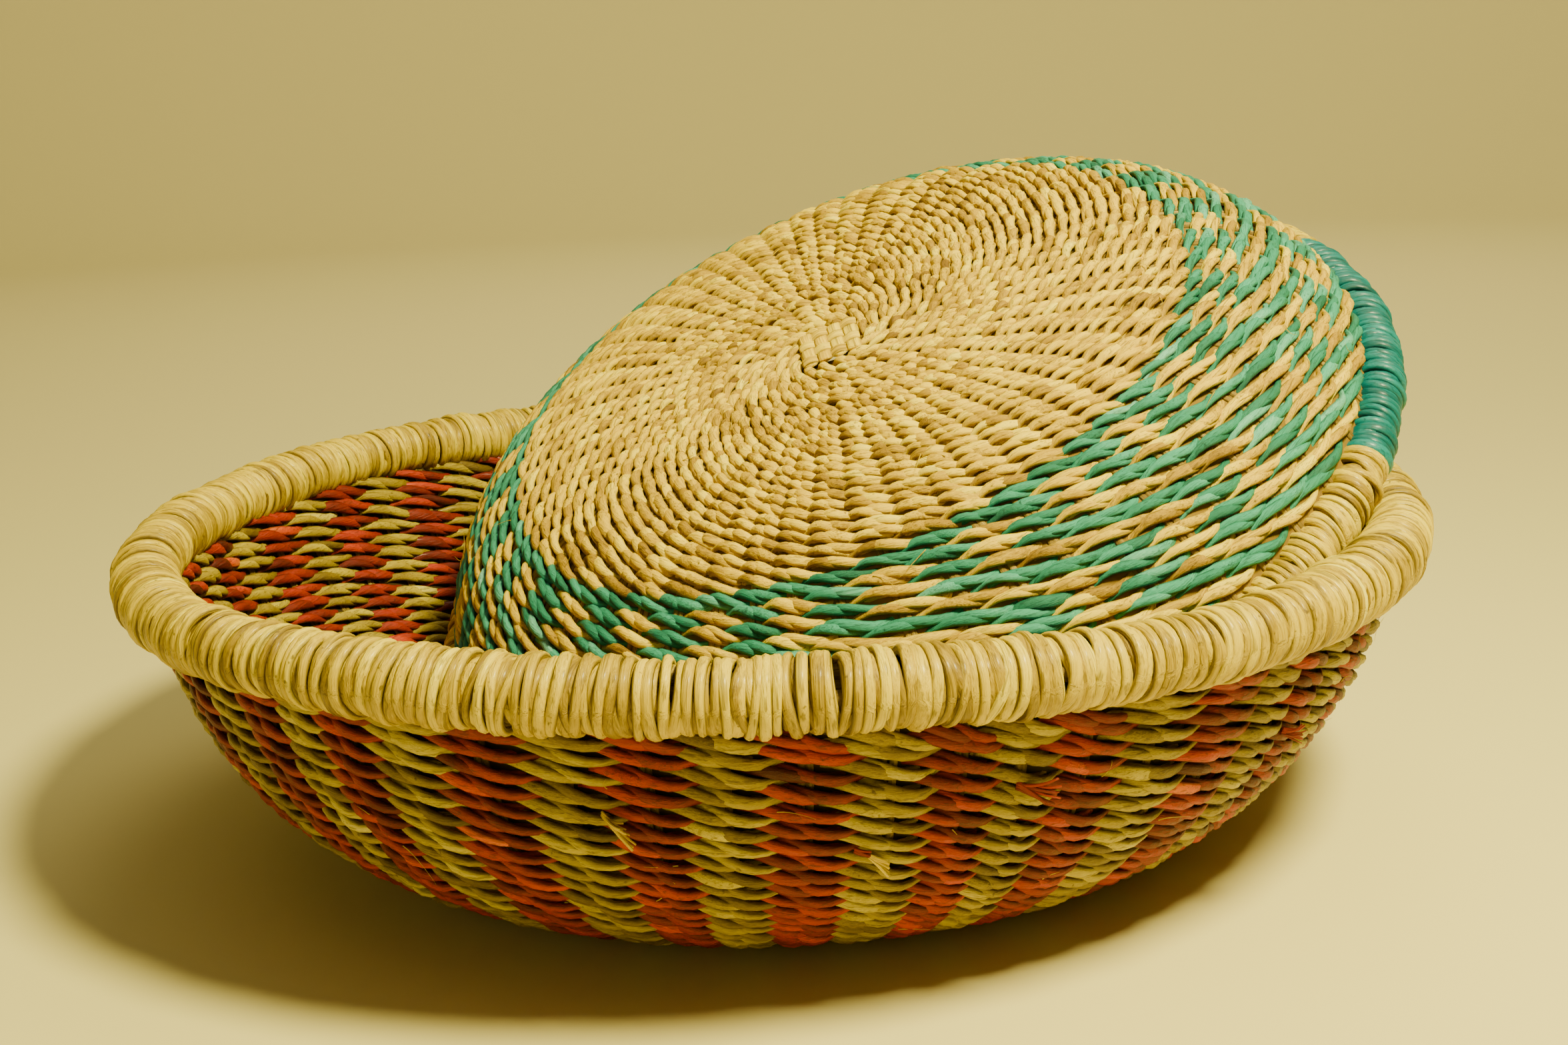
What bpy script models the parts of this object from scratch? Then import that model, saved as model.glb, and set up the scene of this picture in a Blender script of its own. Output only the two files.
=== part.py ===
"""A round basket of twined grass, and the shallower bowl that lies turned over in it as its cover.

Each bowl is built the way it is woven: stakes run out from a square start knot, twined weavers hold
them on both faces, and the stake ends are gathered in a rim core that flat grass is wrapped around.
The basket stands on z = 0 with its own axis on Z. The cover leans in it, one edge down on the inside
of the wall and its rim laid on the basket's rim.
"""

import math

import bmesh
import bpy
from mathutils import Matrix, Vector

# Layers through the woven wall, from the outer face inwards
WEAVE = 0.0016
LAYER_GAP = 0.0009
STAKE_THICK = 0.0010
STAKE_WIDTH = 0.0030
JOINT_GAP = 0.0003

# Rim roll: flat grass wrapped round a bundle
WRAP_GAP = 0.0008
SLIT_HALF_ANGLE = math.radians(24)

# Start knot: a small square of crossed bundles in the middle of the floor
KNOT_SIDE = 0.018
KNOT_HOLE = 0.0135
KNOT_THICK = 0.0014

# Facets
TURN_STEPS = 36
WALL_STEPS = 4
CORE_SIDES = 6
WRAP_STEPS = 7

# The basket: outer face of its floor and wall
BASKET = {
    "rim_radius": 0.172,
    "foot_radius": 0.100,
    "wall_top_radius": 0.1707,
    "wall_angles": (0.0, math.radians(78.2)),
    "wall_power": 0.73,
    "rim_above_wall": 0.0125,
    "core_radius": 0.0043,
    "wrap_thick": 0.0034,
    "hub_radius": 0.044,
    "stakes": 62,
    "band_from": 0,
}

# The cover: a shallower bowl, measured the same way
COVER = {
    "rim_radius": 0.1445,
    "foot_radius": 0.0752,
    "wall_top_radius": 0.1423,
    "wall_angles": (math.radians(1), math.radians(67.4)),
    "wall_power": 1.22,
    "rim_above_wall": 0.0130,
    "core_radius": 0.0036,
    "wrap_thick": 0.0026,
    "hub_radius": 0.040,
    "stakes": 56,
    "band_from": 2,
}

# Where the cover lies: its rim's centre against the basket's rim, and its lean
COVER_SHIFT = (0.0366, 0.0347)
COVER_RISE = 0.0002
COVER_LEAN = math.radians(29.3)
COVER_LEAN_AZIMUTH = math.radians(43.5)

# The dyed stretch of the cover's rim, as azimuths in the cover's own frame
TEAL_START = math.radians(-33)
TEAL_END = math.radians(13)

NATURAL = ("natural_grass", (0.62, 0.45, 0.12), 0.55)
STRIPED = ("striped_grass", (0.45, 0.16, 0.05), 0.55)
BANDED = ("banded_grass", (0.20, 0.42, 0.24), 0.55)
TEAL = ("teal_grass", (0.02, 0.27, 0.24), 0.45)
STAKE = ("stake_grass", (0.40, 0.28, 0.10), 0.70)
RIM = ("rim_grass", (0.68, 0.50, 0.14), 0.42)


def clear_scene():
    for obj in list(bpy.data.objects):
        bpy.data.objects.remove(obj, do_unlink=True)


def new_collection(name):
    collection = bpy.data.collections.new(name)
    bpy.context.scene.collection.children.link(collection)
    return collection


def material_for(name, finish):
    """A plain Principled material in the finish (label, colour, roughness)."""
    label, colour, roughness = finish
    material = bpy.data.materials.new(f"{name}_{label}")
    material.use_nodes = True
    shader = material.node_tree.nodes["Principled BSDF"]
    shader.inputs["Base Color"].default_value = (*colour, 1.0)
    shader.inputs["Roughness"].default_value = roughness
    shader.inputs["Metallic"].default_value = 0.0
    material.diffuse_color = (*colour, 1.0)
    return material


def wall_outline(bowl, depth):
    """Points (r, z) from foot to wall top, this deep inside the outer face. The slope grows as a power of the way up."""
    fine = 120
    low, high = bowl["wall_angles"]

    def slope_at(way):
        return low + (high - low) * way ** bowl["wall_power"]

    slopes = [slope_at((i + 0.5) / fine) for i in range(fine)]
    run = sum(math.cos(slope) for slope in slopes)
    step = (bowl["wall_top_radius"] - bowl["foot_radius"]) / run
    r, z = bowl["foot_radius"], 0.0
    outer = [(r, z)]
    for slope in slopes:
        r += step * math.cos(slope)
        z += step * math.sin(slope)
        outer.append((r, z))
    points = []
    for i in range(WALL_STEPS + 1):
        r, z = outer[i * fine // WALL_STEPS]
        slope = slope_at(i / WALL_STEPS)
        points.append((r - depth * math.sin(slope), z + depth * math.cos(slope)))
    return points


def rim_height(bowl):
    return wall_outline(bowl, 0.0)[-1][1] + bowl["rim_above_wall"]


def add_object(name, mesh, finish, frame, collection):
    obj = bpy.data.objects.new(name, mesh)
    obj.data.materials.append(material_for(name, finish))
    obj.parent = frame
    collection.objects.link(obj)
    return obj


def polyline(name, points, closed=False):
    """A mesh of edges alone, in the XZ plane."""
    count = len(points)
    edges = [(i, (i + 1) % count) for i in range(count if closed else count - 1)]
    mesh = bpy.data.meshes.new(name)
    mesh.from_pydata([(x, 0.0, z) for x, z in points], edges, [])
    return mesh


def turn(obj, angle=math.tau, steps=TURN_STEPS):
    """Sweeps the profile about Z."""
    screw = obj.modifiers.new("turned", "SCREW")
    screw.angle = angle
    screw.steps = steps
    screw.render_steps = steps
    screw.use_merge_vertices = True
    screw.merge_threshold = 0.00002
    screw.use_smooth_shade = True


def thicken(obj, thickness):
    solidify = obj.modifiers.new("thickness", "SOLIDIFY")
    solidify.thickness = thickness
    solidify.offset = 0.0
    solidify.use_even_offset = True


def turned_skin(name, points, finish, frame, collection):
    """One face of the weave, as a thin turned shell."""
    skin = add_object(name, polyline(name, points), finish, frame, collection)
    turn(skin)
    thicken(skin, WEAVE)
    return skin


def start_knot(name, finish, frame, collection):
    """A flat square knot with softened corners, level with the floor weave around it."""
    mesh = bpy.data.meshes.new(name)
    bm = bmesh.new()
    bmesh.ops.create_cube(bm, size=1.0)
    bmesh.ops.scale(bm, vec=(KNOT_SIDE, KNOT_SIDE, KNOT_THICK), verts=bm.verts)
    bmesh.ops.translate(bm, vec=(0, 0, KNOT_THICK / 2 + JOINT_GAP / 3), verts=bm.verts)
    upright = [e for e in bm.edges if abs(e.verts[0].co.z - e.verts[1].co.z) > KNOT_THICK / 2]
    bmesh.ops.bevel(bm, geom=upright, offset=KNOT_SIDE / 6, segments=2, affect="EDGES", profile=0.5)
    bm.to_mesh(mesh)
    bm.free()
    return add_object(name, mesh, finish, frame, collection)


def stake_spider(name, bowl, finish, frame, collection):
    """All the stakes in one piece: they cross in a dense hub and run out, one strip each, up to the rim core."""
    depth = WEAVE + LAYER_GAP + STAKE_THICK / 2
    path = wall_outline(bowl, depth)
    rim = Vector((bowl["rim_radius"], rim_height(bowl)))
    last = Vector(path[-1])
    reach = (rim - last).length - bowl["core_radius"] - 2 * JOINT_GAP
    path.append(tuple(last + (rim - last).normalized() * reach))
    mesh = bpy.data.meshes.new(name)
    bm = bmesh.new()
    rows = []
    hub_z = path[0][1]
    for i in range(bowl["stakes"]):
        turn_by = Matrix.Rotation(math.tau * i / bowl["stakes"], 3, "Z")
        half = STAKE_WIDTH / 2
        rows.append(
            [
                [bm.verts.new(turn_by @ Vector((r, side * half, z))) for side in (-1, 1)]
                for r, z in [(bowl["hub_radius"], hub_z), *path]
            ]
        )
    for row in rows:
        for (a, b), (c, d) in zip(row, row[1:]):
            bm.faces.new((a, c, d, b))
    bm.faces.new([vert for row in rows for vert in row[0]])
    bm.normal_update()
    bm.to_mesh(mesh)
    bm.free()
    spider = add_object(name, mesh, finish, frame, collection)
    thicken(spider, STAKE_THICK)
    return spider


def rim_core(name, bowl, finish, frame, collection):
    """The bundle inside the rim."""
    turns = [-math.tau * i / CORE_SIDES for i in range(CORE_SIDES)]
    radius = bowl["core_radius"]
    ring = [
        (bowl["rim_radius"] + radius * math.cos(turn_by), rim_height(bowl) + radius * math.sin(turn_by))
        for turn_by in turns
    ]
    core = add_object(name, polyline(name, ring, closed=True), finish, frame, collection)
    turn(core)
    return core


def rim_wrap(name, bowl, finish, start, end, frame, collection):
    """The wrapping round the core from azimuth start to end, open below in a slit where the stakes come in."""
    z = rim_height(bowl)
    wall_x, wall_z = wall_outline(bowl, WEAVE + LAYER_GAP + STAKE_THICK / 2)[-1]
    slit = math.atan2(wall_z - z, wall_x - bowl["rim_radius"])
    middle = bowl["core_radius"] + WRAP_GAP + bowl["wrap_thick"] / 2
    sweep = math.tau - 2 * SLIT_HALF_ANGLE
    points = []
    for i in range(WRAP_STEPS + 1):
        angle = slit + SLIT_HALF_ANGLE + sweep * i / WRAP_STEPS
        points.append((bowl["rim_radius"] + middle * math.cos(angle), z + middle * math.sin(angle)))
    wrap = add_object(name, polyline(name, points), finish, frame, collection)
    wrap.rotation_euler.z = start
    steps = max(3, round(TURN_STEPS * (end - start) / math.tau))
    turn(wrap, end - start, steps)
    thicken(wrap, bowl["wrap_thick"])
    return wrap


def woven_bowl(bowl, names, frame, collection):
    """The knot, stakes, both faces of the weave and the rim core of one bowl.

    names holds the prefix, the floor's and the wall's names, and the floor's and the wall's finishes.
    """
    prefix, floor_name, wall_name, floor_finish, wall_finish = names
    split = bowl["band_from"]
    start_knot(f"{prefix}_start_knot", floor_finish, frame, collection)
    stake_spider(f"{prefix}_stakes", bowl, STAKE, frame, collection)
    inner_depth = 1.5 * WEAVE + 2 * LAYER_GAP + STAKE_THICK
    for face, depth in (("outer", WEAVE / 2), ("inner", inner_depth)):
        wall = wall_outline(bowl, depth)
        hole = KNOT_HOLE if face == "outer" else JOINT_GAP * 10
        edge = Vector(wall[split])
        before = Vector(wall[split - 1]) if split else Vector((hole, wall[0][1]))
        after = Vector(wall[split + 1])
        floor = [(hole, wall[0][1]), *wall[:split], tuple(edge + (before - edge).normalized() * JOINT_GAP)]
        band = [tuple(edge + (after - edge).normalized() * JOINT_GAP), *wall[split + 1 :]]
        turned_skin(f"{prefix}_{floor_name}_{face}", floor, floor_finish, frame, collection)
        turned_skin(f"{prefix}_{wall_name}_{face}", band, wall_finish, frame, collection)
    rim_core(f"{prefix}_rim_core", bowl, STAKE, frame, collection)


def basket(collection):
    frame = bpy.data.objects.new("basket_frame", None)
    collection.objects.link(frame)
    names = ("basket", "floor_weave", "wall_weave", NATURAL, STRIPED)
    woven_bowl(BASKET, names, frame, collection)
    rim_wrap("basket_rim_wrap", BASKET, RIM, 0.0, math.tau, frame, collection)


def cover(collection):
    """The cover's own frame has its rim's centre at the origin and its crown on +Z."""
    frame = bpy.data.objects.new("cover_frame", None)
    collection.objects.link(frame)
    lean_axis = Matrix.Rotation(COVER_LEAN_AZIMUTH, 4, "Z")
    lean = lean_axis @ Matrix.Rotation(-COVER_LEAN, 4, "Y") @ lean_axis.inverted()
    place = Matrix.Translation((*COVER_SHIFT, rim_height(BASKET) + COVER_RISE))
    turned_over = Matrix.Rotation(math.pi, 4, "X") @ Matrix.Translation((0, 0, -rim_height(COVER)))
    frame.matrix_world = place @ lean @ turned_over
    names = ("cover", "crown_weave", "band_weave", NATURAL, BANDED)
    woven_bowl(COVER, names, frame, collection)
    # Turned over about X, azimuths run the other way.
    gap = JOINT_GAP / COVER["rim_radius"]
    rim_wrap("cover_rim_wrap_teal", COVER, TEAL, -TEAL_END + gap, -TEAL_START - gap, frame, collection)
    rim_wrap(
        "cover_rim_wrap_natural", COVER, RIM, -TEAL_START + gap, math.tau - TEAL_END - gap, frame, collection
    )


def main():
    clear_scene()
    collection = new_collection("woven_basket")
    basket(collection)
    cover(collection)


main()
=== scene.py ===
"""The looks of the woven grass basket and the bowl turned over in it, built strand by strand."""

import math

import bpy
import numpy as np
from mathutils import Matrix, Vector


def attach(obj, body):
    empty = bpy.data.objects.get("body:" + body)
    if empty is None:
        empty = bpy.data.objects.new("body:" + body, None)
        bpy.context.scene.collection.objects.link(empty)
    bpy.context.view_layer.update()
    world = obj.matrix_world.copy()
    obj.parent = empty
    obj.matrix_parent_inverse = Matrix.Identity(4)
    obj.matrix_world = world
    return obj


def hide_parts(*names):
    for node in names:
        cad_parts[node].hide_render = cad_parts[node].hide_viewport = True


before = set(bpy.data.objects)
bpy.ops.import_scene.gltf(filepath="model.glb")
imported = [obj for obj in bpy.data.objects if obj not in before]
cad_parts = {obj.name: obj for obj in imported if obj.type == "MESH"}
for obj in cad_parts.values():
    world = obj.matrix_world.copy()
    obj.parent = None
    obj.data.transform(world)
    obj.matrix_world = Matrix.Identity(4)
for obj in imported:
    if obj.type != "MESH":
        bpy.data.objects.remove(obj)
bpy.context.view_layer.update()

# ---------------------------------------------------------------- sizes, as in the CAD (metres)

STAKE_DEPTH = 0.0035  # middle of the weave, inside the outer face

ORANGE_COLUMN = math.radians(271)
SLANT = -1.0  # the way the strands twist: the left end of a stitch lies nearer the rim

BASKET = {
    "rim_radius": 0.172,
    "foot_radius": 0.100,
    "wall_top_radius": 0.1707,
    "wall_angles": (0.0, math.radians(78.2)),
    "wall_power": 0.73,
    "rim_above_wall": 0.0125,
    "roll_radius": 0.0085,
    "stakes": 62,
    "column": ORANGE_COLUMN,
    "wander": (0.015, 0.009, 0.3),
    "uneven": (0.0008, 0.0007),
}
COVER = {
    "rim_radius": 0.1445,
    "foot_radius": 0.0752,
    "wall_top_radius": 0.1423,
    "wall_angles": (math.radians(1), math.radians(67.4)),
    "wall_power": 1.22,
    "rim_above_wall": 0.0130,
    "roll_radius": 0.0070,
    "stakes": 56,
    "column": 0.0,
    "wander": (0.013, 0.008, 1.9),
    "uneven": (0.0006, 0.0006),
}
COVER_SHIFT = (0.0366, 0.0347)
COVER_RISE = 0.0002
COVER_LEAN = math.radians(29.3)
COVER_LEAN_AZIMUTH = math.radians(43.5)
TEAL_ARC = (math.radians(-13), math.radians(33))

BASKET_COURSES = 21
FLOOR_PITCH = 0.0046
CROWN_PITCH = 0.0041
BAND_PITCH = 0.0046
LOOSE_PLACE = math.radians(-72)
KNOT_SIDE = 0.018
FIRST_COURSE_RADIUS = 0.0100
COURSES_IN_A_PIECE = 8

STRAND_HALF_THICK = 0.00095
SIDES = 8
STEPS_PER_PERIOD = 12

rng = np.random.default_rng(41)


# ---------------------------------------------------------------- the bowls' outlines


class Outline:
    """The middle surface of one bowl's weave, from the knot out to the wall top, by distance along it."""

    def __init__(self, bowl):
        self.bowl = bowl
        low, high = bowl["wall_angles"]
        fine = 600
        way = (np.arange(fine) + 0.5) / fine
        slope = low + (high - low) * way ** bowl["wall_power"]
        step = (bowl["wall_top_radius"] - bowl["foot_radius"]) / np.cos(slope).sum()
        r = bowl["foot_radius"] + np.concatenate([[0], np.cumsum(step * np.cos(slope))])
        z = np.concatenate([[0], np.cumsum(step * np.sin(slope))])
        edge = low + (high - low) * (np.arange(fine + 1) / fine) ** bowl["wall_power"]
        self.rim_z = z[-1] + bowl["rim_above_wall"]
        r, z = r - STAKE_DEPTH * np.sin(edge), z + STAKE_DEPTH * np.cos(edge)
        floor_r = np.linspace(0.0, r[0], 40, endpoint=False)
        self.r = np.concatenate([floor_r, r])
        self.z = np.concatenate([np.full(40, z[0]), z])
        self.slope = np.concatenate([np.zeros(40), edge])
        # The last stretch runs on from the wall top into the rim.
        away = np.array([bowl["rim_radius"] - self.r[-1], self.rim_z - self.z[-1]])
        self.length = self._lengths()[-1]
        self.r = np.append(self.r, self.r[-1] + away[0])
        self.z = np.append(self.z, self.z[-1] + away[1])
        self.slope = np.append(self.slope, self.slope[-1])
        self.s = self._lengths()
        self.foot = np.interp(r[0], self.r, self.s)

    def _lengths(self):
        return np.concatenate([[0], np.cumsum(np.hypot(np.diff(self.r), np.diff(self.z)))])

    def at(self, s, azimuth):
        """Points on the surface, and its outward normal, uphill and sideways directions there."""
        wide, high = self.uneven(azimuth, s)
        r = np.interp(s, self.s, self.r) + wide
        z = np.interp(s, self.s, self.z) + high
        slope = np.interp(s, self.s, self.slope)
        cos_a, sin_a = np.cos(azimuth), np.sin(azimuth)
        point = np.stack([r * cos_a, r * sin_a, z], -1)
        normal = np.stack([np.sin(slope) * cos_a, np.sin(slope) * sin_a, -np.cos(slope)], -1)
        uphill = np.stack([np.cos(slope) * cos_a, np.cos(slope) * sin_a, np.sin(slope)], -1)
        side = np.stack([-sin_a, cos_a, 0 * sin_a], -1)
        return point, normal, uphill, side

    def uneven(self, azimuth, s):
        """How far hand work strays outward and upward from a true round, most at the rim."""
        wide, high = self.bowl["uneven"]
        share = np.clip(s / self.s[-1], 0, 1) ** 2
        start = self.bowl["wander"][2]
        outward = wide * (np.sin(2 * azimuth + start) + 0.5 * np.sin(5 * azimuth + 3 * start))
        upward = high * (np.sin(3 * azimuth + 2 * start) + 0.5 * np.sin(8 * azimuth + start))
        return share * outward, share * upward

    def wandered(self, azimuth):
        """Hand work is uneven: the stakes stand a little closer here and wider there."""
        big, small, start = self.bowl["wander"]
        return azimuth + big * np.sin(7 * azimuth + start) + small * np.sin(13 * azimuth + 2.2 * start)


# ---------------------------------------------------------------- strands gathered into one mesh


def unit(vectors):
    return vectors / np.linalg.norm(vectors, axis=-1, keepdims=True)


class Strands:
    """Tubes of oval section collected into one mesh, each point knowing where on its strand it lies.

    fibre holds the way along the strand and the turn round it, tone how light the grass is, and edge is 1
    where the strand meets its neighbours; the materials paint shade there. For the lower rim strips, tone
    also holds painted shade.
    """

    def __init__(self):
        self.points, self.fibres, self.tones, self.edges = [], [], [], []
        self.quads, self.caps, self.count = [], [], 0

    def add(self, centre, normal, half_thick, half_wide, tone, closed=True, sides=SIDES, twist=220.0):
        ahead = np.roll(centre, -1, 0) - np.roll(centre, 1, 0)
        if not closed:
            ahead[0] = centre[1] - centre[0]
            ahead[-1] = centre[-1] - centre[-2]
        ahead = unit(ahead)
        out = unit(normal - ahead * (normal * ahead).sum(-1, keepdims=True))
        across = np.cross(ahead, out)
        n = len(centre)
        turn = math.tau * np.arange(sides) / sides
        half_thick = np.broadcast_to(half_thick, (n,))
        half_wide = np.broadcast_to(half_wide, (n,))
        points = (
            centre[:, None]
            + out[:, None] * (half_thick[:, None] * np.cos(turn))[..., None]
            + across[:, None] * (half_wide[:, None] * np.sin(turn))[..., None]
        )
        along = np.concatenate([[0], np.cumsum(np.linalg.norm(np.diff(centre, axis=0), axis=1))])
        spun = turn[None] + twist * along[:, None]
        fibre = np.stack([np.broadcast_to(along[:, None], spun.shape), np.cos(spun), np.sin(spun)], -1)
        self.points.append(points.reshape(-1, 3))
        self.fibres.append(fibre.reshape(-1, 3))
        self.tones.append(np.repeat(np.broadcast_to(tone, (n,)), sides))
        self.edges.append(np.tile(np.abs(np.sin(turn)), n))
        i = np.arange(n if closed else n - 1)
        j = np.arange(sides)
        a = i[:, None] * sides + j
        b = i[:, None] * sides + (j + 1) % sides
        c = ((i[:, None] + 1) % n) * sides + (j + 1) % sides
        d = ((i[:, None] + 1) % n) * sides + j
        self.quads.append(np.stack([a, d, c, b], -1).reshape(-1, 4) + self.count)
        if not closed:
            self.caps.append(np.arange(sides)[None] + self.count)
            self.caps.append(np.arange(sides)[::-1][None] + self.count + (n - 1) * sides)
        self.count += n * sides

    def build(self, name, material, place=None):
        points = np.concatenate(self.points)
        quads = np.concatenate(self.quads)
        rings = [quads.reshape(-1)]
        starts = [np.arange(len(quads)) * 4]
        used = len(quads) * 4
        for cap in self.caps:
            rings.append(cap.reshape(-1))
            starts.append(np.array([used]))
            used += cap.size
        loops = np.concatenate(rings).astype(np.int32)
        starts = np.concatenate(starts).astype(np.int32)
        mesh = bpy.data.meshes.new(name)
        mesh.vertices.add(len(points))
        mesh.vertices.foreach_set("co", points.astype(np.float32).reshape(-1))
        mesh.loops.add(len(loops))
        mesh.loops.foreach_set("vertex_index", loops)
        mesh.polygons.add(len(starts))
        mesh.polygons.foreach_set("loop_start", starts)
        mesh.update(calc_edges=True)
        fibre = mesh.attributes.new("fibre", "FLOAT_VECTOR", "POINT")
        fibre.data.foreach_set("vector", np.concatenate(self.fibres).astype(np.float32).reshape(-1))
        for label, values in (("tone", self.tones), ("edge", self.edges)):
            spread = mesh.attributes.new(label, "FLOAT", "POINT")
            spread.data.foreach_set("value", np.concatenate(values).astype(np.float32))
        mesh.shade_smooth()
        if place is not None:
            mesh.transform(place)
        mesh.materials.append(material)
        piece = bpy.data.objects.new(name, mesh)
        bpy.context.scene.collection.objects.link(piece)
        return piece


# ---------------------------------------------------------------- weaving


def smooth_random(count, size, n):
    """A closed smooth curve through count random values, read at n places."""
    knots = rng.normal(0.0, size, count)
    where = np.arange(n) * count / n
    low = np.floor(where).astype(int)
    part = where - low
    part = part * part * (3 - 2 * part)
    return knots[low % count] * (1 - part) + knots[(low + 1) % count] * part


def weave(pitch, thick, over, wide=0.31, slant=0.38, pinch=0.16, apart=0.08, spread=0.55):
    """One kind of course: half thickness, swing outward, shares of the pitch, and pair phase."""
    return {
        "thick": thick,
        "over": over,
        "wide": wide * pitch,
        "slant": slant * pitch * SLANT,
        "pinch": pinch,
        "apart": apart * pitch,
        "spread": spread,
    }


def course(outline, strands, s, stakes, phase, side, kind, drift, steps):
    """One twining strand once round: out over one stake and in behind the next, with the bowl's slant."""
    periods = stakes // 2
    n = periods * steps
    index = math.tau * np.arange(n) / n
    turn = periods * index + phase + side * kind["spread"] + smooth_random(periods, 0.12, n)
    azimuth = outline.wandered(index)
    way = s + drift + smooth_random(periods, 0.00025, n) + side * kind["apart"] * np.cos(turn)
    point, normal, uphill, _ = outline.at(way, azimuth)
    over = kind["over"] * (1 + smooth_random(periods, 0.10, n)) * np.cos(turn)
    slant = kind["slant"] * (1 + smooth_random(periods, 0.15, n)) * np.sin(turn)
    centre = point + normal * over[:, None] + uphill * slant[:, None]
    lean = 0.35 * np.sin(turn) * SLANT + smooth_random(periods, 0.15, n)
    facing = normal * np.cos(lean)[:, None] + uphill * np.sin(lean)[:, None]
    pinch = 1 - kind["pinch"] * np.sin(turn) ** 2
    wide = kind["wide"] * pinch * (1 + smooth_random(periods, 0.12, n))
    thick = kind["thick"] * (1 + 0.12 * np.cos(2 * turn))
    tone = rng.uniform(0.2, 0.8) + smooth_random(periods, 0.26, n)
    strands.add(centre, facing, thick, wide, tone)


def twined_course(outline, s, stakes, colours, column, kind, drift, steps=STEPS_PER_PERIOD):
    """Two strands of colours[0] over the even stakes and two of colours[1] over the odd ones."""
    lead = -(stakes // 2) * column
    for turned, strands in ((0.0, colours[0]), (math.pi, colours[1])):
        for side in (-1, 1):
            course(outline, strands, s, stakes, lead + turned, side, kind, drift, steps)


def common_drift(outline, n, size=0.0005):
    """How far all courses of a bowl stray up and down together, once round."""
    index = math.tau * np.arange(n) / n
    return size * (np.sin(3 * index + 0.7) + 0.6 * np.sin(5 * index + outline.bowl["wander"][2]))


def stakes_passed(bowl, radius):
    """Stakes are added as the work grows, so the inner courses pass fewer of them."""
    if radius < 0.017:
        return bowl["stakes"] // 8 * 2
    if radius < 0.034:
        return bowl["stakes"] // 4 * 2
    return bowl["stakes"]


def floor_courses(outline, until, aim):
    """The undyed courses from the knot out to this distance along the outline, gathered a few to a mesh."""
    bowl = outline.bowl
    count = round((until - FIRST_COURSE_RADIUS) / aim)
    pitch = (until - FIRST_COURSE_RADIUS) / count
    gathered = []
    for i in range(count):
        if i % COURSES_IN_A_PIECE == 0:
            gathered.append(Strands())
        s = FIRST_COURSE_RADIUS + (i + 0.5) * pitch
        radius = float(np.interp(s, outline.s, outline.r))
        stakes = stakes_passed(bowl, radius)
        steps = round(STEPS_PER_PERIOD * (1.3 if stakes < bowl["stakes"] else 1.0))
        swing = 0.0020 if radius > 0.03 else 0.0016
        kind = weave(
            pitch, STRAND_HALF_THICK, swing, wide=0.38, slant=0.46, pinch=0.26, apart=0.11, spread=0.45
        )
        drift = common_drift(outline, stakes // 2 * steps, 0.0004)
        twined_course(outline, s, stakes, (gathered[-1], gathered[-1]), 0.0, kind, drift, steps)
    return gathered


# ---------------------------------------------------------------- materials


def wire(tree, kind, inputs=None, **settings):
    """Adds a node, sets its properties and its inputs, and links what is given as an output socket."""
    node = tree.nodes.new(kind)
    for key, value in settings.items():
        setattr(node, key, value)
    for key, value in (inputs or {}).items():
        socket = node.inputs[key]
        if isinstance(value, bpy.types.NodeSocket):
            tree.links.new(value, socket)
        else:
            socket.default_value = value
    return node


def ramp(tree, factor, stops):
    node = wire(tree, "ShaderNodeValToRGB", {"Fac": factor})
    elements = node.color_ramp.elements
    while len(elements) < len(stops):
        elements.new(0.5)
    for element, (place, colour) in zip(elements, stops):
        element.position = place
        element.color = (*colour, 1.0)
    return node.outputs["Color"]


def noise(tree, vector, scale, detail, roughness):
    inputs = {"Vector": vector, "Scale": scale, "Detail": detail, "Roughness": roughness}
    return wire(tree, "ShaderNodeTexNoise", inputs).outputs["Fac"]


def maths(tree, operation, a, b=0.0, c=0.0, clamp=False):
    return wire(tree, "ShaderNodeMath", {0: a, 1: b, 2: c}, operation=operation, use_clamp=clamp).outputs[0]


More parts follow.
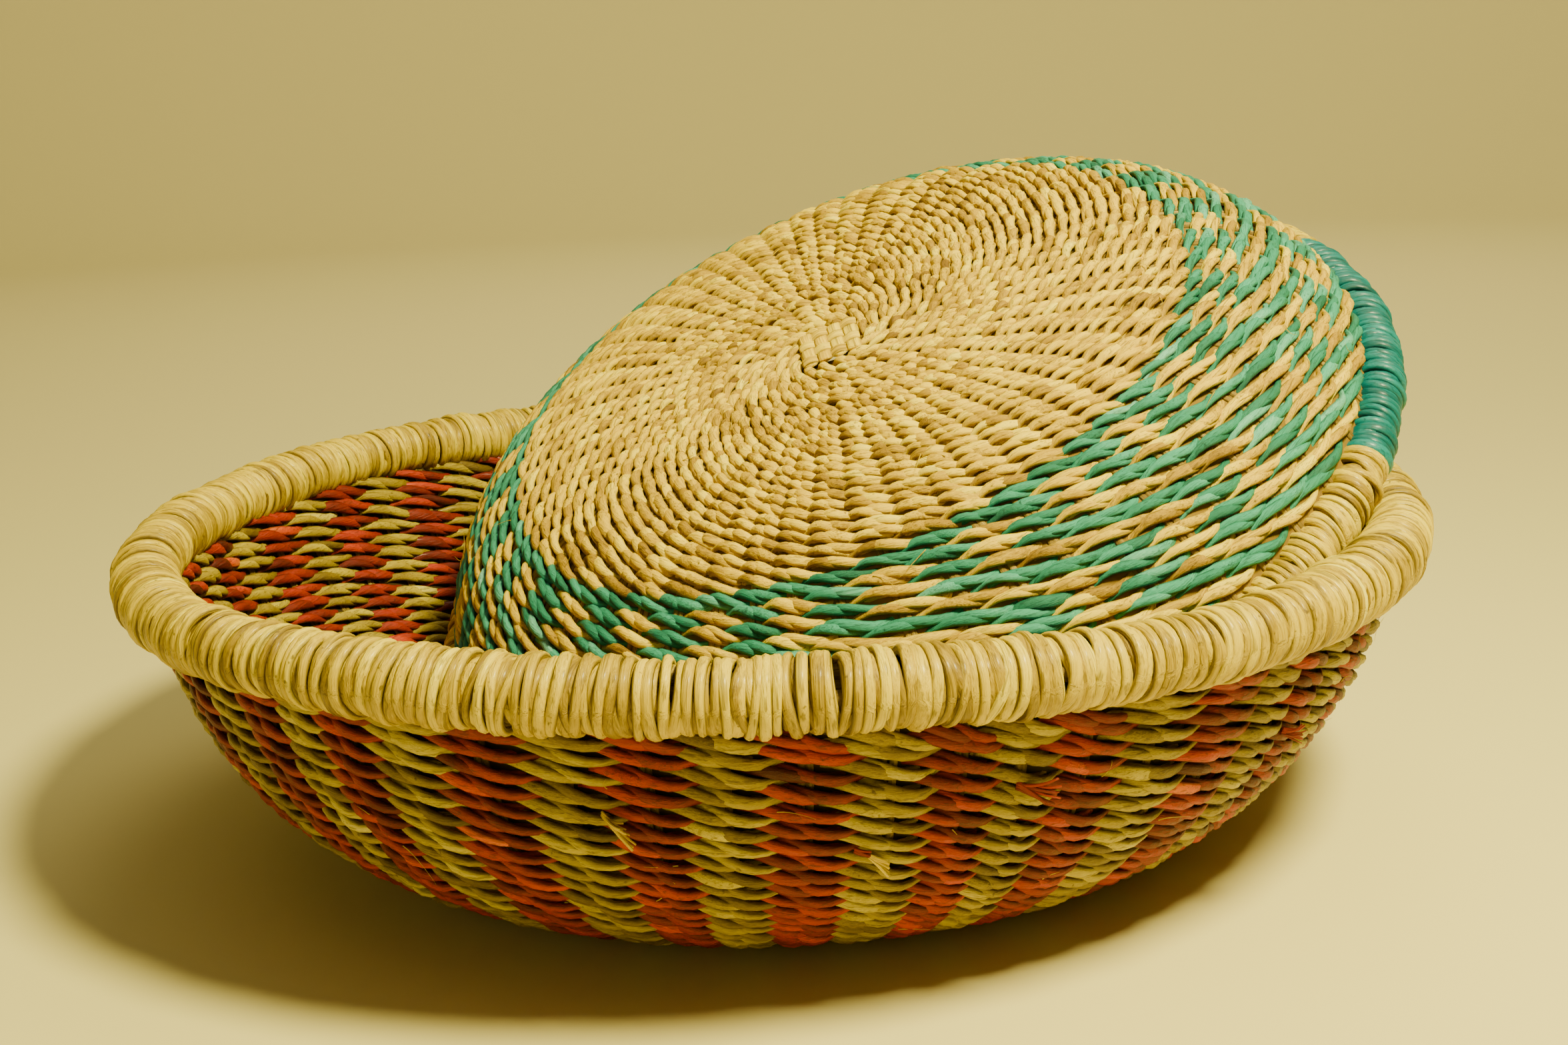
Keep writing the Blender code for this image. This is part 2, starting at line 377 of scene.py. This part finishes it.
def grass(name, stops, dark, roughness, coat=0.0, fibre_scale=7.0, blotch=0.40, relief=0.7, painted_edge_shade=0.70):
    """Twisted grass: long fibres along each strand, tone by strand, weathered blotches and dark specks.

    Each strand is also painted darker towards its side edges, as shade where it meets its neighbours.
    """
    material = bpy.data.materials.new(name)
    material.use_nodes = True
    tree = material.node_tree
    shader = tree.nodes["Principled BSDF"]
    fibre = wire(tree, "ShaderNodeAttribute", attribute_name="fibre").outputs["Vector"]
    tone = wire(tree, "ShaderNodeAttribute", attribute_name="tone").outputs["Fac"]
    place = wire(tree, "ShaderNodeTexCoord").outputs["Object"]
    drawn = wire(tree, "ShaderNodeVectorMath", {0: fibre, 1: (16.0, 1.0, 1.0)}, operation="MULTIPLY")
    drawn = drawn.outputs[0]
    jump = wire(tree, "ShaderNodeCombineXYZ", {"X": maths(tree, "MULTIPLY", tone, 11.0)}).outputs[0]
    drawn = wire(tree, "ShaderNodeVectorMath", {0: drawn, 1: jump}, operation="ADD").outputs[0]
    fine = noise(tree, drawn, fibre_scale, 5.0, 0.62)
    veins = noise(tree, drawn, fibre_scale * 0.4, 2.0, 0.5)
    patches = noise(tree, place, 90.0, 3.0, 0.6)
    specks = noise(tree, place, 420.0, 2.0, 0.7)
    mixed = maths(tree, "MULTIPLY_ADD", tone, 0.50, maths(tree, "MULTIPLY", fine, 0.55))
    mixed = maths(tree, "MULTIPLY_ADD", patches, blotch, mixed)
    mixed = maths(tree, "SUBTRACT", mixed, 0.5 * blotch + 0.02)
    colour = ramp(tree, mixed, stops)
    # Dark seams between the fibres, painted shade at the edges where the strands meet,
    #     # and brown specks where the grass is bruised.
    seam = wire(tree, "ShaderNodeMapRange", {"Value": veins, 1: 0.32, 2: 0.46, 3: 0.6, 4: 0.0}).outputs[0]
    speck = wire(tree, "ShaderNodeMapRange", {"Value": specks, 1: 0.66, 2: 0.75, 3: 0.0, 4: 0.75}).outputs[0]
    edge = wire(tree, "ShaderNodeAttribute", attribute_name="edge").outputs["Fac"]
    # Painted shade: the colour darkens towards each strand's side edges, where it meets its neighbours.
    shade = wire(tree, "ShaderNodeMapRange", {"Value": edge, 1: 0.70, 2: 1.0, 3: 0.0, 4: painted_edge_shade}).outputs[0]
    tinted = wire(tree, "ShaderNodeMix", data_type="RGBA")
    darkest = maths(tree, "MAXIMUM", shade, maths(tree, "MAXIMUM", seam, speck))
    tree.links.new(darkest, tinted.inputs["Factor"])
    tree.links.new(colour, tinted.inputs[6])
    tinted.inputs[7].default_value = (*dark, 1.0)
    tree.links.new(tinted.outputs[2], shader.inputs["Base Color"])
    rough = wire(tree, "ShaderNodeMapRange", {"Value": fine, 3: roughness - 0.12, 4: roughness + 0.20})
    rough = rough.outputs[0]
    tree.links.new(rough, shader.inputs["Roughness"])
    height = maths(tree, "MULTIPLY_ADD", fine, 0.7, maths(tree, "MULTIPLY", veins, 0.8))
    bump = wire(tree, "ShaderNodeBump", {"Height": height, "Distance": 0.0006, "Strength": relief}).outputs[0]
    tree.links.new(bump, shader.inputs["Normal"])
    shader.inputs["Specular IOR Level"].default_value = 0.25
    shader.inputs["Coat Weight"].default_value = coat
    shader.inputs["Coat Roughness"].default_value = 0.22
    return material


STRAW = (
    (0.08, (0.20, 0.105, 0.004)),
    (0.32, (0.46, 0.280, 0.001)),
    (0.54, (0.80, 0.545, 0.001)),
    (0.76, (0.92, 0.700, 0.004)),
    (0.95, (0.95, 0.780, 0.050)),
)
# The natural grass of the basket's wall and floor: the straw colours darkened and turned olive as painted
# shade.
SHADED_STRAW = (
    (0.10, (0.080, 0.048, 0.004)),
    (0.34, (0.200, 0.132, 0.002)),
    (0.56, (0.360, 0.265, 0.003)),
    (0.76, (0.520, 0.410, 0.012)),
    (0.95, (0.720, 0.610, 0.100)),
)
ORANGE = (
    (0.10, (0.060, 0.006, 0.001)),
    (0.38, (0.190, 0.013, 0.0003)),
    (0.64, (0.390, 0.027, 0.0003)),
    (0.84, (0.560, 0.058, 0.0005)),
    (0.97, (0.700, 0.160, 0.010)),
)
GREEN = (
    (0.10, (0.010, 0.090, 0.055)),
    (0.40, (0.018, 0.215, 0.130)),
    (0.65, (0.045, 0.350, 0.230)),
    (0.92, (0.200, 0.540, 0.400)),
)
TEAL = (
    (0.10, (0.001, 0.055, 0.060)),
    (0.45, (0.002, 0.130, 0.140)),
    (0.75, (0.004, 0.220, 0.230)),
    (0.95, (0.040, 0.350, 0.350)),
)
STAKE = (
    (0.10, (0.09, 0.055, 0.008)),
    (0.50, (0.26, 0.170, 0.022)),
    (0.90, (0.50, 0.360, 0.070)),
)
# Plain colours of the sheets inside the weave: painted shade, standing in for what shows through the gaps.
SHADE_SHEET_DARK = (
    (0.10, (0.020, 0.012, 0.002)),
    (0.90, (0.090, 0.050, 0.006)),
)
SHADE_SHEET_STRAW = (
    (0.10, (0.150, 0.085, 0.006)),
    (0.90, (0.420, 0.270, 0.020)),
)
WRAP = (
    (0.08, (0.17, 0.100, 0.003)),
    (0.32, (0.38, 0.255, 0.001)),
    (0.54, (0.66, 0.480, 0.001)),
    (0.76, (0.80, 0.630, 0.004)),
    (0.95, (0.92, 0.770, 0.060)),
)
BROWN = (0.06, 0.032, 0.008)

materials = {
    "natural": grass("natural_strands", STRAW, BROWN, 0.44, painted_edge_shade=0.35),
    # Painted shade: the basket's natural grass takes a darker, olive copy of the straw colours.
    "shaded_natural": grass("shaded_natural_strands", SHADED_STRAW, BROWN, 0.38, coat=0.10),
    "orange": grass("orange_strands", ORANGE, (0.05, 0.010, 0.003), 0.38, coat=0.10),
    "green": grass("green_strands", GREEN, (0.008, 0.045, 0.030), 0.44, painted_edge_shade=0.50),
    "teal": grass("teal_strips", TEAL, (0.002, 0.040, 0.034), 0.34, coat=0.25, relief=0.35),
    "stake": grass("stake_strands", STAKE, BROWN, 0.62),
    # Painted shade: plain colours for the sheets inside the weave, seen through the gaps between the strands.
    "shade_sheet_dark": grass("painted_shade_sheet_dark", SHADE_SHEET_DARK, (0.02, 0.010, 0.003), 0.8),
    "shade_sheet_straw": grass("painted_shade_sheet_straw", SHADE_SHEET_STRAW, BROWN, 0.8),
    "wrap": grass("wrap_strips", WRAP, BROWN, 0.36, coat=0.15, fibre_scale=5.0, painted_edge_shade=0.85),
}


# ---------------------------------------------------------------- the parts of a bowl


def stake_strands(outline, name, place):
    """The stakes themselves, seen between the courses and below the rim."""
    strands = Strands()
    bowl = outline.bowl
    steps = 34
    for i in range(bowl["stakes"]):
        start = 0.010 if i % 4 == 0 else 0.024 if i % 2 == 0 else 0.050
        s = np.linspace(start, outline.s[-1] - 0.004, steps)
        azimuth = outline.wandered(np.full(steps, math.tau * i / bowl["stakes"]) + bowl["column"])
        for offset in (-0.5, 0.5):
            reach = np.interp(s, outline.s, outline.r)
            bend = rng.normal(0, 0.0003) + 0.0002 * np.sin(s * 180 + rng.uniform(0, 6))
            point, normal, _, side = outline.at(s, azimuth)
            centre = point + side * (offset * 0.0016 * np.minimum(1, reach / 0.06) + bend)[:, None]
            strands.add(centre, normal, 0.0006, 0.0010, rng.uniform(0, 1), closed=False, sides=6, twist=60)
    return strands.build(name, materials["stake"], place)


def shade_sheet(outline, name, material, place):
    """A thin sheet between the two faces of the weave that closes it to light.

    Its plain colour is painted shade, standing in for what shows through the gaps between the strands.
    """
    rows, columns = 41, 248
    around = math.tau * np.arange(columns) / columns
    s, azimuth = np.meshgrid(np.linspace(0.006, outline.length, rows - 1), around)
    wall = outline.at(s.T, azimuth.T)[0].reshape(-1, 3)
    wide, high = outline.uneven(around, outline.s[-1])
    r = outline.bowl["rim_radius"] + wide
    roll = np.stack([r * np.cos(around), r * np.sin(around), outline.rim_z + high], -1)
    points = np.concatenate([wall, roll])
    row, column = np.divmod(np.arange((rows - 1) * columns), columns)
    beside = (column + 1) % columns
    quads = [row * columns + column, row * columns + beside]
    quads += [(row + 1) * columns + beside, (row + 1) * columns + column]
    mesh = bpy.data.meshes.new(name)
    mesh.from_pydata(points.tolist(), [], np.stack(quads, -1).tolist())
    mesh.shade_smooth()
    if place is not None:
        mesh.transform(place)
    mesh.materials.append(materials[material])
    sheet = bpy.data.objects.new(name, mesh)
    bpy.context.scene.collection.objects.link(sheet)
    return sheet


def rim_bundle(outline, name, place):
    """The bundle of grass inside the rim, glimpsed where the wrapping parts."""
    strands = Strands()
    bowl = outline.bowl
    n = 240
    azimuth = math.tau * np.arange(n) / n
    for i in range(9):
        turn = math.tau * i / 8 + 2.0 * np.sin(azimuth + i)
        spread = 0.0 if i == 8 else bowl["roll_radius"] * 0.50
        wide, high = outline.uneven(azimuth, outline.s[-1])
        r = bowl["rim_radius"] + wide + spread * np.cos(turn)
        z = outline.rim_z + high + spread * np.sin(turn)
        centre = np.stack([r * np.cos(azimuth), r * np.sin(azimuth), z], -1)
        up = np.tile([0.0, 0.0, 1.0], (n, 1))
        size = bowl["roll_radius"] * 0.30
        strands.add(centre, up, size, size, rng.uniform(0, 1), sides=6, twist=40)
    return strands.build(name, materials["stake"], place)


def wrap_strips(outline, strands, start, end, level, pitch=0.0025):
    """Strips wound round the roll between two azimuths, leaning this way and that. Level 0 is the lower."""
    bowl = outline.bowl
    count = round((end - start) * bowl["rim_radius"] / pitch)
    steps = 26
    turn = math.tau * np.arange(steps) / steps
    roll = bowl["roll_radius"] - (0.0012 if level else 0.0021)
    for i in range(count):
        middle = start + (end - start) * (i + 0.5 * level + 0.25) / count
        lean = 0.0009 * (2 * level - 1) + 0.0004 * math.sin(i * 0.11) + rng.normal(0.0, 0.00070)
        bow = rng.normal(0.0, 0.00030)
        aside = lean * np.sin(turn + 0.6) + bow * np.cos(2 * turn + rng.uniform(0, 6))
        aside += rng.normal(0.0, 0.00012)
        azimuth = middle + aside / bowl["rim_radius"]
        layer = rng.uniform(-0.0002, 0.0006) + 0.0004 * np.sin(turn + rng.uniform(0, 6))
        swell = 1 + 0.030 * math.sin(9 * middle + 1) + 0.022 * math.sin(23 * middle)
        radius = roll * swell + layer
        wide, high = outline.uneven(azimuth, outline.s[-1])
        r = bowl["rim_radius"] + wide + radius * np.cos(turn)
        z = outline.rim_z + high + radius * np.sin(turn)
        centre = np.stack([r * np.cos(azimuth), r * np.sin(azimuth), z], -1)
        out = np.stack([np.cos(turn) * np.cos(azimuth), np.cos(turn) * np.sin(azimuth), np.sin(turn)], -1)
        side = np.stack([-np.sin(azimuth), np.cos(azimuth), 0 * azimuth], -1)
        tip = rng.normal(0.08, 0.15) + 0.25 * np.sin(turn + rng.uniform(0, 6))
        facing = out * np.cos(tip)[:, None] + side * np.sin(tip)[:, None]
        half_wide = rng.uniform(0.00112, 0.00165) * (1 + 0.15 * np.sin(turn + rng.uniform(0, 6)))
        tone = rng.normal(0.5, 0.23) + 0.12 * np.sin(turn + rng.uniform(0, 6))
        # The lower strips are painted a quarter darker in tone: painted shade under the upper strips and in
        # their gaps.
        strands.add(centre, facing, 0.00105, half_wide, tone - 0.25 * (1 - level), twist=rng.normal(0, 50))


def stray_fibres(outline, name, count, material, place, spread):
    """Hairs of grass that have sprung loose, at these distances along the outline."""
    strands = Strands()
    steps = 7
    way = np.linspace(0, 1, steps)
    for _ in range(count):
        azimuth = rng.uniform(0, math.tau)
        s = rng.uniform(*spread)
        length = rng.uniform(0.003, 0.009)
        turned = rng.uniform(-1.2, 1.2) + (math.pi if rng.random() < 0.5 else 0)
        spot, normal, uphill, side = outline.at(np.full(steps, s), np.full(steps, azimuth))
        ahead = side * math.cos(turned) + uphill * math.sin(turned)
        bend = side * rng.normal(0, 0.4) + uphill * rng.normal(0, 0.4)
        lift = 0.0026 + length * rng.uniform(0.05, 0.35) * way**1.6
        centre = spot + ahead * (length * way)[:, None] + bend * (length * way**2)[:, None]
        centre = centre + normal * lift[:, None]
        size = 0.00012 * (1.2 - way)
        strands.add(centre, normal, size, size, rng.uniform(0.4, 1), closed=False, sides=4)
    return strands.build(name, materials[material], place)


def start_knot(name, place, height):
    """The square the weaving starts from: four bundles one way, plaited with four the other way."""
    strands = Strands()
    lines = 4
    gap = KNOT_SIDE / lines
    steps = 33
    run = np.linspace(-KNOT_SIDE / 2, KNOT_SIDE / 2, steps)
    for way in (0, 1):
        for i in range(lines):
            place_across = (i - (lines - 1) / 2) * gap
            wave = 0.0007 * np.cos(math.pi * (run / gap + i + way + (lines - 1) / 2))
            flat = np.full(steps, place_across)
            centre = np.stack([run, flat, height + wave] if way == 0 else [flat, run, height + wave], -1)
            up = np.tile([0.0, 0.0, -1.0], (steps, 1))
            strands.add(centre, up, 0.0006, gap * 0.47, rng.uniform(0.2, 0.9), closed=False, twist=30)
    return strands.build(name, materials["natural"], place)


def cut_ends(outline, specs, name, material, place):
    """Frayed strand ends that stand out between the courses, one for each row of specs."""
    strands = Strands()
    steps = 9
    way = np.linspace(0, 1, steps)
    for azimuth, below, length, fibres, curl in specs:
        place_below = np.full(steps, outline.length - below)
        spot, normal, uphill, side = outline.at(place_below, np.full(steps, azimuth))
        for _ in range(fibres):
            reach = length * rng.uniform(0.7, 1.1) * way
            fan = rng.normal(0.0, 0.35)
            out = 0.0024 + length * rng.uniform(0.25, 0.6) * way**1.5 + 0.0012 * np.sin(3 * way) * curl
            aside = rng.normal(0.0, 0.0005) + fan * length * way**1.4 - 0.25 * reach
            centre = spot + side * reach[:, None] + normal * out[:, None] + uphill * aside[:, None]
            size = rng.uniform(0.00022, 0.00050) * (1 - 0.5 * way)
            strands.add(centre, normal, size, 1.5 * size, rng.uniform(0.2, 0.9), closed=False, sides=6)
    return strands.build(name, materials[material], place)


# Where strand ends stand out of the basket's wall: azimuth, distance below its top, length, fibres, curl
FRONT = math.radians(-90)
STRAW_ENDS = (
    (FRONT - 0.235, 0.016, 0.0070, 11, 1.0),
    (FRONT + 0.11, 0.030, 0.0045, 6, 0.2),
    (FRONT + 2.60, 0.020, 0.0060, 8, 0.6),
)
ORANGE_ENDS = (
    (FRONT + 0.30, 0.0135, 0.0080, 14, 1.0),
    (FRONT + 0.09, 0.028, 0.0035, 6, 0.4),
    (FRONT + 0.80, 0.020, 0.0060, 9, 1.0),
)


def ride(piece, body, slot, *nodes):
    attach(piece, body)
    if nodes:
        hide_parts(*nodes)


# ---------------------------------------------------------------- the basket


def build_basket():
    outline = Outline(BASKET)
    pitch = (outline.length - outline.foot) / BASKET_COURSES
    kind = weave(pitch, STRAND_HALF_THICK, 0.0023)
    drift = common_drift(outline, BASKET["stakes"] // 2 * STEPS_PER_PERIOD)
    halves = {"lower": (Strands(), Strands()), "upper": (Strands(), Strands())}
    for i in range(BASKET_COURSES):
        s = outline.foot + (i + 0.5) * pitch
        half = halves["lower" if i < BASKET_COURSES // 2 else "upper"]
        twined_course(outline, s, BASKET["stakes"], half, ORANGE_COLUMN, kind, drift)
    # One more course is pushed up against the rim, less so where the work is loose.
    azimuth = math.tau * np.arange(len(drift)) / len(drift) - math.tau
    loose = np.exp(-(((azimuth - LOOSE_PLACE) / 0.40) ** 2))
    raised = pitch * (0.55 - 0.60 * loose)
    twined_course(outline, outline.length, BASKET["stakes"], halves["upper"], ORANGE_COLUMN, kind, raised)
    for part, (orange, natural) in halves.items():
        covers = ("basket_wall_weave_outer", "basket_wall_weave_inner") if part == "upper" else ()
        ride(orange.build(f"wall_orange_{part}", materials["orange"]), "basket", "orange_grass", *covers)
        ride(natural.build(f"wall_natural_{part}", materials["shaded_natural"]), "basket", "natural_grass")
    for i, strands in enumerate(floor_courses(outline, outline.foot, FLOOR_PITCH)):
        covers = ("basket_floor_weave_outer", "basket_floor_weave_inner") if i == 0 else ()
        piece = strands.build(f"floor_strands_{i + 1}", materials["shaded_natural"])
        ride(piece, "basket", "natural_grass", *covers)
    ride(stake_strands(outline, "basket_stake_strands", None), "basket", "stake_grass", "basket_stakes")
    ride(shade_sheet(outline, "basket_shade_sheet", "shade_sheet_dark", None), "basket", "stake_grass")
    ride(rim_bundle(outline, "basket_rim_bundle", None), "basket", "stake_grass", "basket_rim_core")
    knot = start_knot("basket_knot", None, 0.0022)
    ride(knot, "basket", "natural_grass", "basket_start_knot")
    for level, covers in ((0, ()), (1, ("basket_rim_wrap",))):
        strips = Strands()
        wrap_strips(outline, strips, 0.0, math.tau, level)
        piece = strips.build(f"basket_rim_strips_{level + 1}", materials["wrap"])
        ride(piece, "basket", "rim_grass", *covers)
    ends = cut_ends(outline, STRAW_ENDS, "cut_ends_straw", "natural", None)
    ride(ends, "basket", "natural_grass")
    ends = cut_ends(outline, ORANGE_ENDS, "cut_ends_orange", "orange", None)
    ride(ends, "basket", "orange_grass")
    hairs = stray_fibres(outline, "basket_hairs", 90, "natural", None, (outline.foot + 0.02, outline.length))
    ride(hairs, "basket", "natural_grass")
    return outline


# ---------------------------------------------------------------- the cover

# Which stakes each band course passes with green in front. Where a course differs from the one before, the
# pattern steps.
BAND_STEPS = (0, 0, 0, 1, 0, 1, 1, 1, 1, 0)


def cover_place(basket_rim_z, cover_rim_z):
    lean_axis = Matrix.Rotation(COVER_LEAN_AZIMUTH, 4, "Z")
    lean = lean_axis @ Matrix.Rotation(-COVER_LEAN, 4, "Y") @ lean_axis.inverted()
    place = Matrix.Translation((*COVER_SHIFT, basket_rim_z + COVER_RISE))
    turned_over = Matrix.Rotation(math.pi, 4, "X") @ Matrix.Translation((0, 0, -cover_rim_z))
    return place @ lean @ turned_over


def build_cover(basket_outline):
    outline = Outline(COVER)
    place = cover_place(basket_outline.rim_z, outline.rim_z)
    band_start = outline.length - (len(BAND_STEPS) + 1) * BAND_PITCH
    for i, strands in enumerate(floor_courses(outline, band_start, CROWN_PITCH)):
        covers = ("cover_crown_weave_outer", "cover_crown_weave_inner") if i == 0 else ()
        piece = strands.build(f"crown_strands_{i + 1}", materials["natural"], place)
        ride(piece, "cover", "natural_grass", *covers)
    green, natural = Strands(), Strands()
    stakes = COVER["stakes"]
    drift = common_drift(outline, stakes // 2 * STEPS_PER_PERIOD, 0.0004)
    kind = weave(BAND_PITCH, STRAND_HALF_THICK, 0.0018)
    line = weave(BAND_PITCH, 0.00090, 0.0018, wide=0.28)
    twined_course(outline, band_start + 0.4 * BAND_PITCH, stakes, (green, green), 0.0, line, drift)
    for i, step in enumerate(BAND_STEPS):
        s = band_start + (i + 1.45) * BAND_PITCH
        colours = (green, natural) if step else (natural, green)
        twined_course(outline, s, stakes, colours, 0.0, kind, drift)
    near_rim = outline.length + 0.45 * BAND_PITCH
    twined_course(outline, near_rim, stakes, (green, natural), 0.0, kind, drift)
    covers = ("cover_band_weave_outer", "cover_band_weave_inner")
    ride(green.build("band_green", materials["green"], place), "cover", "green_grass", *covers)
    ride(natural.build("band_natural", materials["natural"], place), "cover", "natural_grass")
    ride(stake_strands(outline, "cover_stake_strands", place), "cover", "stake_grass", "cover_stakes")
    ride(shade_sheet(outline, "cover_shade_sheet", "shade_sheet_straw", place), "cover", "stake_grass")
    ride(rim_bundle(outline, "cover_rim_bundle", place), "cover", "stake_grass", "cover_rim_core")
    knot = start_knot("cover_knot", place, 0.0009)
    ride(knot, "cover", "natural_grass", "cover_start_knot")
    dyed = Strands()
    for level, covers in ((0, ()), (1, ("cover_rim_wrap_natural",))):
        strips = Strands()
        wrap_strips(outline, strips, TEAL_ARC[1], math.tau + TEAL_ARC[0], level)
        wrap_strips(outline, dyed, TEAL_ARC[0], TEAL_ARC[1], level)
        piece = strips.build(f"cover_rim_strips_{level + 1}", materials["wrap"], place)
        ride(piece, "cover", "rim_grass", *covers)
    ride(dyed.build("cover_rim_teal", materials["teal"], place), "cover", "teal_grass", "cover_rim_wrap_teal")
    hairs = stray_fibres(outline, "cover_hairs", 70, "natural", place, (0.03, outline.length))
    ride(hairs, "cover", "natural_grass")


# ---------------------------------------------------------------- studio


def area_light(name, location, target, size, energy, colour):
    light = bpy.data.lights.new(name, "AREA")
    light.shape = "DISK"
    light.size = size
    light.energy = energy
    light.color = colour
    lamp = bpy.data.objects.new(name, light)
    lamp.location = location
    lamp.rotation_euler = (Vector(target) - Vector(location)).to_track_quat("-Z", "Y").to_euler()
    bpy.context.scene.collection.objects.link(lamp)


def studio():
    """A pale sweep rising all round, with a key light high in front and softer light round it."""
    reach, rise, bend, around = 3.0, 2.6, 0.9, 72
    bends = np.linspace(0, math.pi / 2, 14)
    profile = [(reach - bend + bend * math.sin(a), bend - bend * math.cos(a)) for a in bends]
    profile.append((reach, rise))
    turns = [math.tau * j / around for j in range(around)]
    verts = [(r * math.cos(a), r * math.sin(a), z) for r, z in profile for a in turns]
    faces = [tuple(range(around))]
    for i in range(len(profile) - 1):
        low, high = i * around, (i + 1) * around
        for j in range(around):
            k = (j + 1) % around
            faces.append((low + j, high + j, high + k, low + k))
    mesh = bpy.data.meshes.new("floor")
    mesh.from_pydata(verts, [], faces)
    mesh.shade_smooth()
    pale = bpy.data.materials.new("pale_floor")
    pale.use_nodes = True
    pale.node_tree.nodes["Principled BSDF"].inputs["Base Color"].default_value = (0.72, 0.64, 0.26, 1)
    pale.node_tree.nodes["Principled BSDF"].inputs["Roughness"].default_value = 0.8
    mesh.materials.append(pale)
    floor = bpy.data.objects.new("floor", mesh)
    bpy.context.scene.collection.objects.link(floor)
    world = bpy.data.worlds.new("studio")
    bpy.context.scene.world = world
    world.use_nodes = True
    world.node_tree.nodes["Background"].inputs["Color"].default_value = (1.0, 0.93, 0.72, 1)
    world.node_tree.nodes["Background"].inputs["Strength"].default_value = 0.06
    middle = (0.0, 0.0, 0.07)
    area_light("key", (0.30, -0.42, 0.78), middle, 0.18, 22.0, (1.0, 0.89, 0.42))
    area_light("fill", (-0.5, -1.4, 0.50), middle, 0.8, 1.5, (1.0, 0.90, 0.60))
    area_light("above", (0.0, 0.0, 2.5), middle, 3.0, 10.0, (1.0, 0.92, 0.70))
    area_light("sweep", (0.3, 0.9, 1.7), (0.1, 2.6, 0.3), 1.2, 34.0, (1.0, 0.88, 0.56))


def camera():
    """Where the photographer stood: a little above the rim, close in front."""
    distance = 0.556
    above, turned, tilted, rolled = (math.radians(a) for a in (12.70, -0.29, -0.36, -2.19))
    data = bpy.data.cameras.new("camera")
    data.lens = 44.4
    data.sensor_width = 36.0
    data.clip_start = 0.02
    eye = bpy.data.objects.new("camera", data)
    rim_z = Outline(BASKET).rim_z
    spot = Vector((0, -distance * math.cos(above), rim_z + distance * math.sin(above)))
    look = Matrix.Rotation(math.pi / 2 - above, 4, "X")
    aim = Matrix.Rotation(turned, 4, "Y") @ Matrix.Rotation(tilted, 4, "X") @ Matrix.Rotation(rolled, 4, "Z")
    eye.matrix_world = Matrix.Translation(spot) @ look @ aim
    bpy.context.scene.collection.objects.link(eye)
    bpy.context.scene.camera = eye


basket_outline = build_basket()
build_cover(basket_outline)
studio()
camera()
